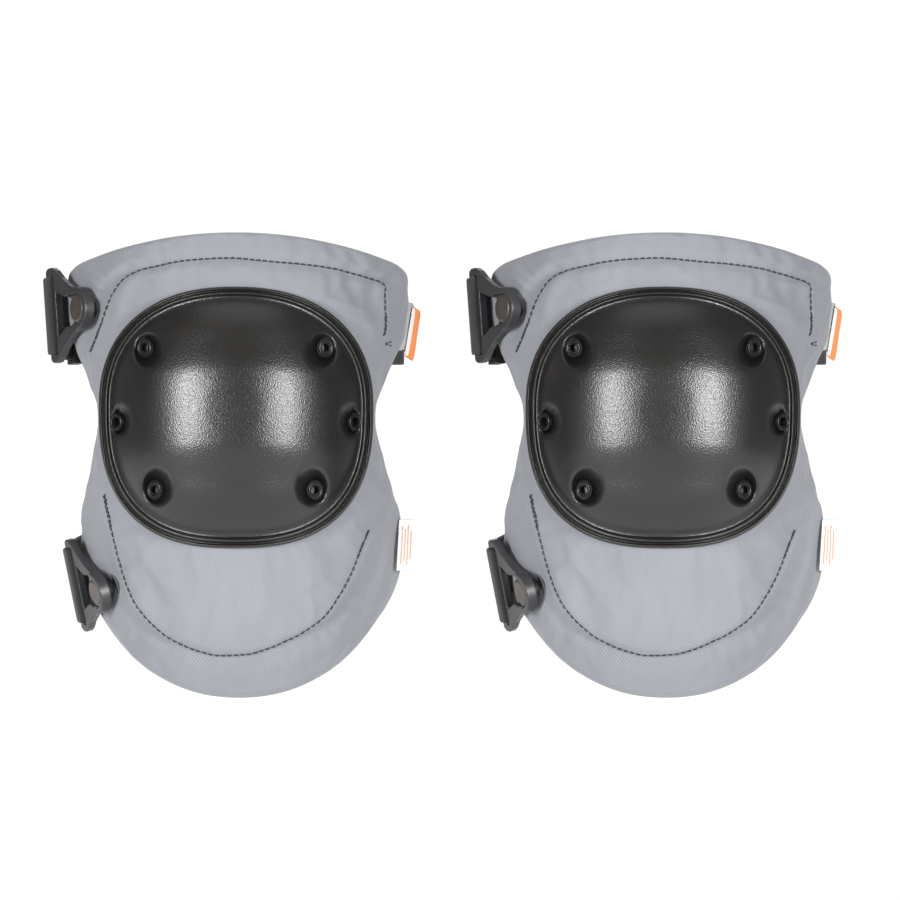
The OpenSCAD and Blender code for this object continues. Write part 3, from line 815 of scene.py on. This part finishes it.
def make_cushion_stitches(cushion):
    path = CUSHION_SEAM * oval(np.linspace(0, 2 * math.pi, 130))
    points, faces = joined(stitch_run(path, tree_of(cushion), "back", 3.0, 0.7, 0.3))
    return make_mesh("left_cushion_stitches", points, faces, material=LOOKS["grey_thread"])


# ---------------------------------------------------------------- fastening frames and webbing
STRAP_W, STRAP_T, HOOK_T, HOOK_Z, BAR_X, BAR_HALF = 39, 1.4, 4, 1.6, -27, 2.2
LEAN_OUT, LEAN_BACK, CURVE_R, LOOP_LEN, END_GAP = 80, 5, 18, 5.5, 0.4
KEEPER_LEN, KEEPER_TRAVEL, RUN_GAP, RUN_STEP, RUN_TURN = 6, 7, 2.5, 1.7, 75
TACK_IN, TACK_MARGIN, TACK_PITCH, TACK_LEN, TACK_THREAD = 0.5, 2, 2.4, 2.1, 0.25
CURVE_LEN = CURVE_R * math.radians(LEAN_OUT - LEAN_BACK)
CURVE_END = LOOP_LEN + CURVE_LEN
END_STOP = CURVE_END + KEEPER_LEN + KEEPER_TRAVEL + 1.5
BAR_CLEAR = 0.25 + STRAP_T / 2
BAR_TOP = HOOK_Z + HOOK_T + BAR_CLEAR
BAR_SIDE = BAR_HALF + BAR_CLEAR
UPPER_RUN = [
    (-32, 49, 49), (0, 55, 48), (32, 49, 47), (58, 34.5, 46.5), (73, 22, 46.5),
    (81, 15.5, 46.5), (83.6, 12, 46.5), (83.2, 9.2, 46.5), (81, 6.4, 46.5), (77, 1.2, 46.5),
    (72.3, -4.6, 46.5),
]
LOWER_RUN = [
    (-30, 52, -71.5), (0, 57, -71.5), (30, 52, -71), (52, 40, -71), (65, 29.5, -71),
    (69.5, 24, -71), (70, 18.5, -71), (67.5, 13, -71), (64.2, 7.5, -71), (61, 2.5, -71),
]


class Fastening:
    """One hook's frame, from the joints: x from the bar to the tip, y along the bar, z off the fabric."""

    def __init__(self, which):
        swivel = JOINTS[f"left_{which}_swivel"]
        self.seat = np.array(swivel["pos_m"]) / MM - np.array([PAD_X["left"], 0, 0])
        self.n = unit(swivel["axis"])
        slide = np.array(JOINTS[f"left_{which}_release"]["axis"], float)
        self.x = unit(slide - (slide @ self.n) * self.n)
        self.y = np.cross(self.n, self.x)

    def at(self, x, y, z):
        x, y, z = (np.asarray(v, float)[..., None] for v in (x, y, z))
        return self.seat + x * self.x + y * self.y + z * self.n

    def along(self, q, off=0.0):
        """Hook-plane place of the webbing's middle at q along it, moved off it by off."""
        share = min(max((q - LOOP_LEN) / CURVE_LEN, 0), 1)
        a, b = math.radians(LEAN_OUT), math.radians(LEAN_OUT + share * (LEAN_BACK - LEAN_OUT))
        start, way = np.array([-math.sin(a), -math.cos(a)]), np.array([-math.sin(b), -math.cos(b)])
        place = np.array([BAR_X, HOOK_Z - 1]) + min(q, LOOP_LEN) * start
        place = place + CURVE_R * np.array([math.cos(a) - math.cos(b), math.sin(b) - math.sin(a)])
        place = place + max(q - CURVE_END, 0) * way
        return place + off * np.array([-way[1], way[0]])

    def path(self, places):
        places = np.asarray(places, float)
        return self.at(places[:, 0], np.zeros(len(places)), places[:, 1])

    def run(self, points):
        start = self.at(*np.insert(self.along(END_STOP + RUN_GAP), 1, 0))
        step = self.along(END_STOP + 1) - self.along(END_STOP)
        way = self.x * step[0] + self.n * step[1]
        return catmull(np.concatenate([[start, start + 10 * way], np.array(points, float)]), 8), way


def over_bar(side, z):
    return [
        (BAR_X + side * BAR_SIDE, z), (BAR_X + side * BAR_SIDE, BAR_TOP - 1.7),
        (BAR_X + side * (BAR_SIDE - 0.36), BAR_TOP - 0.36), (BAR_X + side * (BAR_SIDE - 1.7), BAR_TOP + 0.1),
    ]


def loop_path(fastening):
    def leg(q, side):
        return tuple(fastening.along(q, side * (STRAP_T / 2 + 0.12)))

    points = [leg(LOOP_LEN, -1), leg(LOOP_LEN - 1, -1), *over_bar(-1, HOOK_Z + 1), (BAR_X, BAR_TOP + 0.15)]
    points += [*over_bar(1, HOOK_Z - 0.3)[::-1], (BAR_X + 1.5, HOOK_Z - 1.85)]
    points += [leg(LOOP_LEN - 2.5, 1), leg(LOOP_LEN, 1)]
    return fastening.path(catmull(points, 5))


RIB_PITCH, RIB_DEPTH = 1.3, 0.13


def strap_form(path, ups, width, thickness, start_v=0.0):
    """A closed band of ribbed webbing along a path: points, faces and its cloth map."""
    path = np.asarray(path, float)
    way = unit(np.gradient(path, axis=0))
    side = unit(np.cross(way, ups))
    up = np.cross(side, way)
    columns = int(width / RIB_PITCH) * 2 + 1
    place = np.linspace(-width / 2, width / 2, columns)
    rib = np.where(np.arange(columns) % 2 == 0, -RIB_DEPTH, 0.0)
    round_edge = np.sqrt(np.maximum(1 - (np.abs(place) / (width / 2)) ** 40, 0.05))
    height = (thickness / 2 + rib) * round_edge
    length = lengths_along(path) + start_v
    rings, uv = [], []
    for k in range(len(path)):
        face = path[k] + np.outer(place, up[k]) + np.outer(height, side[k])
        back = path[k] + np.outer(place[::-1], up[k]) - np.outer(height[::-1], side[k])
        rings.append(np.concatenate([face, back]))
        uv.append(np.stack([np.concatenate([place, place[::-1] + 60]), np.full(2 * columns, length[k])], 1))
    points, faces = ringed(path[0], rings, path[-1])
    return points, faces, np.concatenate([*uv, [[0, length[0]], [0, length[-1]]]])


def make_band(name, forms):
    points, faces = joined([form[:2] for form in forms])
    uv = np.concatenate([form[2] for form in forms])
    return make_mesh(name, points, faces, uv, LOOKS["webbing"])


def make_webbing(which, fastening, run_points):
    """The loop round the bar, the folded end and the run round the leg, with the tacks that hold the fold."""
    made = {}
    path = resample(loop_path(fastening), 0.55)
    made["loop"] = make_band(f"left_{which}_webbing_loop", [
        strap_form(path, np.broadcast_to(fastening.y, path.shape), STRAP_W, STRAP_T)])
    forms = []
    for side in (-1, 1):
        q = np.linspace(LOOP_LEN + END_GAP * 0.2, END_STOP, 34)
        layer = fastening.path([fastening.along(v, side * (STRAP_T / 2 + 0.08)) for v in q])
        forms.append(strap_form(layer, np.broadcast_to(fastening.y, layer.shape), STRAP_W, STRAP_T, 6 * side))
    made["fold"] = make_band(f"left_{which}_webbing_fold", forms)
    beads = []
    for face in (-1, 1):
        place = fastening.along(END_STOP - TACK_IN, face * (STRAP_T + 0.1))
        step = fastening.along(END_STOP - TACK_IN, face * (STRAP_T + 1.1)) - place
        normal = fastening.x * step[0] + fastening.n * step[1]
        for y in np.arange(-STRAP_W / 2 + TACK_MARGIN, STRAP_W / 2 - TACK_MARGIN, TACK_PITCH):
            a = fastening.at(place[0], y, place[1])
            beads.append(bead(a, a + fastening.y * TACK_LEN, unit(normal), TACK_THREAD))
    points, faces = joined(beads)
    made["tacks"] = make_mesh(f"left_{which}_fold_stitches", points, faces, material=LOOKS["dark_thread"])
    whole, _ = fastening.run(run_points)
    path = resample(whole, RUN_STEP)
    turn = smooth(np.linspace(0, lengths_along(whole)[-1], len(path)) / RUN_TURN)[:, None]
    ups = fastening.y + turn * (np.array([0, 0, 1.0]) - fastening.y)
    path = np.concatenate([[path[0] - (path[1] - path[0]) * (RUN_GAP - 0.2) / RUN_STEP], path])
    ups = np.concatenate([ups[:1], ups])
    made["run"] = make_band(f"left_{which}_webbing_run", [strap_form(path, ups, STRAP_W, STRAP_T)])
    return made


# ---------------------------------------------------------------- tab and labels
TAB_UP, LABEL_WAY, SLAB_CORNER = unit([0.16, 0, 1]), (0.45, 0.85, 0), 1.6


def soft_slab(foot, way, up, width, height, thickness, curl, skew=0.0):
    """A closed piece of folded ribbon, round-cornered and a little curled: points, faces, cloth map."""
    way, up = unit(way), unit(up)
    side = unit(np.cross(way, up))
    rows, columns = 15, 13
    across, along = np.linspace(0, width, rows), np.linspace(-height / 2, height / 2, columns)
    faces_of, uv = [], []
    for face in (1, -1):
        grid = []
        for a in across:
            corner = max(a - (width - SLAB_CORNER), 0)
            inset = SLAB_CORNER - math.sqrt(max(SLAB_CORNER**2 - corner**2, 0))
            b = along * (1 - 2 * inset / height) - skew * a
            bend = curl * ((a / width) ** 2 + 0.25 * np.sin(along / height * 5 + a * 0.4))
            puff = thickness / 2 * np.sqrt(np.maximum(1 - (2 * along / height) ** 10, 0.1))
            grid.append(np.asarray(foot) + way * a + np.outer(b, up) + np.outer(bend + face * puff, side))
            uv.append(np.stack([np.full(columns, a), along], 1))
        faces_of.append(np.concatenate(grid))
    points = np.concatenate(faces_of)
    count = rows * columns
    faces = grid_faces(rows, columns, False)
    faces += [tuple(i + count for i in face[::-1]) for face in grid_faces(rows, columns, False)]
    border = list(range(columns)) + [r * columns + columns - 1 for r in range(1, rows)]
    border += [(rows - 1) * columns + c for c in range(columns - 2, -1, -1)]
    border += [r * columns for r in range(rows - 2, 0, -1)]
    for a, b in zip(border, border[1:] + border[:1]):
        faces.append((a, b, b + count, a + count))
    return points, faces, np.concatenate(uv)


def make_slab(name, look, *where):
    points, faces, uv = soft_slab(*where)
    return subdivided(make_mesh(name, points, faces, uv, LOOKS[look]))


def make_marks(slab):
    """Plain bars printed on the care label. They stand for its print and spell nothing."""
    forms = []
    for k, length in enumerate((19, 16, 20, 14)):
        start = (1.9 + 1.9 * k, -length / 2)
        forms.append(flat_bar(slab, start, 0.7, length))
    points, faces = joined(forms)
    return make_mesh("left_care_label_print", points, faces, material=LOOKS["print"])


CARE_LABEL = ((81, 2.5, -64.5), (0.75, 0.6, 0), (0.05, 0, 1), 11.5, 26, 0.5, 0.4)


def flat_bar(slab, start, width, length):
    foot, way, up = np.array(slab[0], float), unit(slab[1]), unit(slab[2])
    side = unit(np.cross(way, up))
    rows = []
    for a in (start[0], start[0] + width):
        bend = slab[6] * ((a / slab[3]) ** 2)
        for b in np.linspace(start[1], start[1] + length, 8):
            swing = slab[6] * 0.25 * math.sin(b / slab[4] * 5 + a * 0.4)
            for lift in (0.22, 0.36):
                rows.append(foot + way * a + up * b + side * (bend + swing + lift))
    points = np.array(rows).reshape(2, 8, 2, 3)
    ring = [np.array([points[0, k, 0], points[1, k, 0], points[1, k, 1], points[0, k, 1]]) for k in range(8)]
    return ringed(ring[0].mean(0), ring, ring[-1].mean(0))


# ---------------------------------------------------------------- hooks
def make_hook(which):
    """The moulded hook: the CAD hook's form with its edges softened as a moulding's are."""
    source = frame["nodes"][f"left_{which}_hook"]
    hook = bpy.data.objects.new(f"left_{which}_hook_moulding", source.data.copy())
    bpy.context.scene.collection.objects.link(hook)
    hook.data.materials.clear()
    hook.data.materials.append(LOOKS["hook"])
    remesh = hook.modifiers.new("skin", "REMESH")
    remesh.mode = "VOXEL"
    remesh.voxel_size = 0.4 * MM
    remesh.use_smooth_shade = True
    soften = hook.modifiers.new("soften", "SMOOTH")
    soften.factor, soften.iterations = 0.5, 5
    return flattened(hook)


# ---------------------------------------------------------------- assembly
def twin_of(piece):
    """The right pad's copy of a left pad's piece that is still in the pad's own frame."""
    return copied(piece, piece.name.replace("left_", "right_", 1))


def settle(piece, side, body, nodes=()):
    placed(piece, side)
    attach(piece, body)
    if nodes:
        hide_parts(*[f"{side}_{node}" for node in nodes])


def settle_blend(piece, side, node):
    placed(piece, side)
    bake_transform(piece)
    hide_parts(f"{side}_{node}")


padding = make_padding()
seams = make_seams(padding)
edge_seam = make_edge_seam()
cap = make_cap()
cushion = make_cushion()
cushion_stitches = make_cushion_stitches(cushion)
tab = make_slab("left_side_tab", "tab", (82.3, 2.5, 46.9), (0.4, 0.9, 0), TAB_UP, 12, 25, 1.4, 0.3, 0.08)
orange = make_slab("left_folded_label", "orange", (86.5, 9.6, 44.2), LABEL_WAY, TAB_UP, 9, 26, 0.6, 0.5, 0.3)
band = make_slab("left_label_band", "white", (86.5, 9.0, 44.2), LABEL_WAY, TAB_UP, 3.4, 24.6, 0.4, 0.2, 0.3)
care = make_slab("left_care_ribbon", "white", *CARE_LABEL)
marks = make_marks(CARE_LABEL)
PAD_PIECES = [
    (padding, "pad_fabric", ("cover", "foam", "lining")),
    (seams, "pad_fabric", ()), (edge_seam, "pad_fabric", ()),
    (cap, "cap_plastic", ("cap",)), (cushion, "lining_fabric", ("knee_cushion",)),
    (cushion_stitches, "lining_fabric", ()), (tab, "pad_fabric", ("strap_tab",)),
    (orange, "label_orange", ("edge_label",)), (band, "label_white", ()),
    (care, "label_white", ("care_label",)), (marks, "label_white", ()),
]
for piece, slot, nodes in PAD_PIECES:
    for side in SIDES[::-1]:
        target = piece if side == "left" else twin_of(piece)
        settle(target, side, f"{side}_pad", nodes)

for which, run_points in (("upper", UPPER_RUN), ("lower", LOWER_RUN)):
    fastening = Fastening(which)
    bands = make_webbing(which, fastening, run_points)
    hook = make_hook(which)
    for side in SIDES[::-1]:
        end_body, hook_body = f"{side}_{which}_strap_end", f"{side}_{which}_hook"
        pick = {key: (obj if side == "left" else twin_of(obj)) for key, obj in bands.items()}
        settle(pick["fold"], side, end_body, (f"{which}_strap_end",))
        settle(pick["tacks"], side, end_body)
        settle_blend(pick["loop"], side, f"{which}_strap_loop")
        whole, way = fastening.run(run_points)
        settle_blend(pick["run"], side, f"{which}_strap")
        shape = hook if side == "left" else twin_of(hook)
        if side == "right":
            moved = points_of(shape)
            moved[:, 0] += PAD_X["right"] - PAD_X["left"]
            set_points(shape, moved)
        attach(shape, hook_body)
        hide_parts(f"{side}_{which}_hook")

# The steel rivet washers take the dark rivet look as painted shade, so the bores over them read dark.
CAD_LOOKS = {
    "cap_rivets": "rivet", "rivet_washers": "rivet", "stud_washers": "steel",
    "upper_stud": "stud", "lower_stud": "stud", "upper_stud_base": "black",
    "lower_stud_base": "black", "upper_keeper": "black", "lower_keeper": "black",
}
for side in SIDES:
    for node, look in CAD_LOOKS.items():
        obj = frame["nodes"][f"{side}_{node}"]
        obj.data.materials.clear()
        obj.data.materials.append(LOOKS[look])
        if "stud" in node or "keeper" in node:
            edge = obj.modifiers.new("edges", "BEVEL")
            edge.width, edge.segments, edge.angle_limit = 0.3 * MM, 3, math.radians(40)

# ---------------------------------------------------------------- stage, lights and camera
low = cad_box[0]
FLOOR_GAP, FLOOR_GLOW, FLOOR_X, FLOOR_Y = 0.0005, 1.0, 0.6, 0.45


def flat_stage(name, points, colour, rough):
    mesh = bpy.data.meshes.new(name)
    mesh.from_pydata(points, [], [(0, 1, 2, 3)])
    obj = bpy.data.objects.new(name, mesh)
    bpy.context.scene.collection.objects.link(obj)
    paint = Paint(name, Roughness=rough, Emission_Color=(1, 1, 1, 1), Emission_Strength=FLOOR_GLOW)
    paint.colour(paint.ramp(paint.noise(3, 2), colour, tuple(min(c * 1.03, 1) for c in colour)))
    mesh.materials.append(paint.material)


floor_z = low.z - FLOOR_GAP
corners = [(-FLOOR_X, -FLOOR_Y, floor_z), (FLOOR_X, -FLOOR_Y, floor_z), (FLOOR_X, FLOOR_Y, floor_z)]
flat_stage("floor", [*corners, (-FLOOR_X, FLOOR_Y, floor_z)], (0.3, 0.3, 0.3), 0.9)


def area_light(name, place, aim, size, power):
    data = bpy.data.lights.new(name, "AREA")
    data.shape, data.size, data.size_y, data.energy = "RECTANGLE", *size, power
    obj = bpy.data.objects.new(name, data)
    bpy.context.scene.collection.objects.link(obj)
    obj.location = place
    obj.rotation_euler = (Vector(aim) - Vector(place)).to_track_quat("-Z", "Y").to_euler()


SOFTBOX_ANGLE, SOFTBOX_FAR, SOFTBOX_UP, SOFTBOX_SIZE, SOFTBOX_POWER = 37, 2.7, 0.18, (0.62, 1.05), 86
for name, way in (("left_softbox", -1), ("right_softbox", 1)):
    a = math.radians(SOFTBOX_ANGLE) * way
    place = (SOFTBOX_FAR * math.sin(a), -SOFTBOX_FAR * math.cos(a), SOFTBOX_UP)
    area_light(name, place, (0, 0, 0), SOFTBOX_SIZE, SOFTBOX_POWER)
FILLS = {
    "top_fill": ((0, -0.4, 1.6), (1.6, 1.2), 5),
    "back_fill": ((0.3, 1.6, 0.8), (1.4, 1.0), 10),
}
for name, (place, size, power) in FILLS.items():
    area_light(name, place, (0, 0, 0), size, power)

# The camera sees a white backdrop, and the world lights the pads at a quarter of full strength.
WORLD_LIGHT, WORLD_SHOWN = 0.25, 1.05
world = bpy.data.worlds.new("studio")
world.use_nodes = True
lit = world.node_tree.nodes["Background"]
lit.inputs["Color"].default_value, lit.inputs["Strength"].default_value = (1, 1, 1, 1), WORLD_LIGHT
shown = world.node_tree.nodes.new("ShaderNodeBackground")
shown.inputs["Color"].default_value, shown.inputs["Strength"].default_value = (1, 1, 1, 1), WORLD_SHOWN
pick = world.node_tree.nodes.new("ShaderNodeMixShader")
path = world.node_tree.nodes.new("ShaderNodeLightPath")
surface = world.node_tree.nodes["World Output"].inputs["Surface"]
for source, target in (
    (path.outputs["Is Camera Ray"], pick.inputs[0]), (lit.outputs[0], pick.inputs[1]),
    (shown.outputs[0], pick.inputs[2]), (pick.outputs[0], surface),
):
    world.node_tree.links.new(source, target)
bpy.context.scene.world = world
bpy.context.scene.view_settings.view_transform = "Standard"

VIEW_W, LENS, SENSOR = 0.45, 350, 36
CAMERA_X, CAMERA_Z, CAMERA_BACK = 0.00025, -0.01625, 0.06
camera = bpy.data.objects.new("camera", bpy.data.cameras.new("camera"))
bpy.context.scene.collection.objects.link(camera)
camera.data.lens, camera.data.sensor_width = LENS, SENSOR
far = VIEW_W * LENS / SENSOR
camera.location = (CAMERA_X, -far - CAMERA_BACK, CAMERA_Z)
camera.rotation_euler = (math.radians(90), 0, 0)
camera.data.clip_end = 100
bpy.context.scene.camera = camera
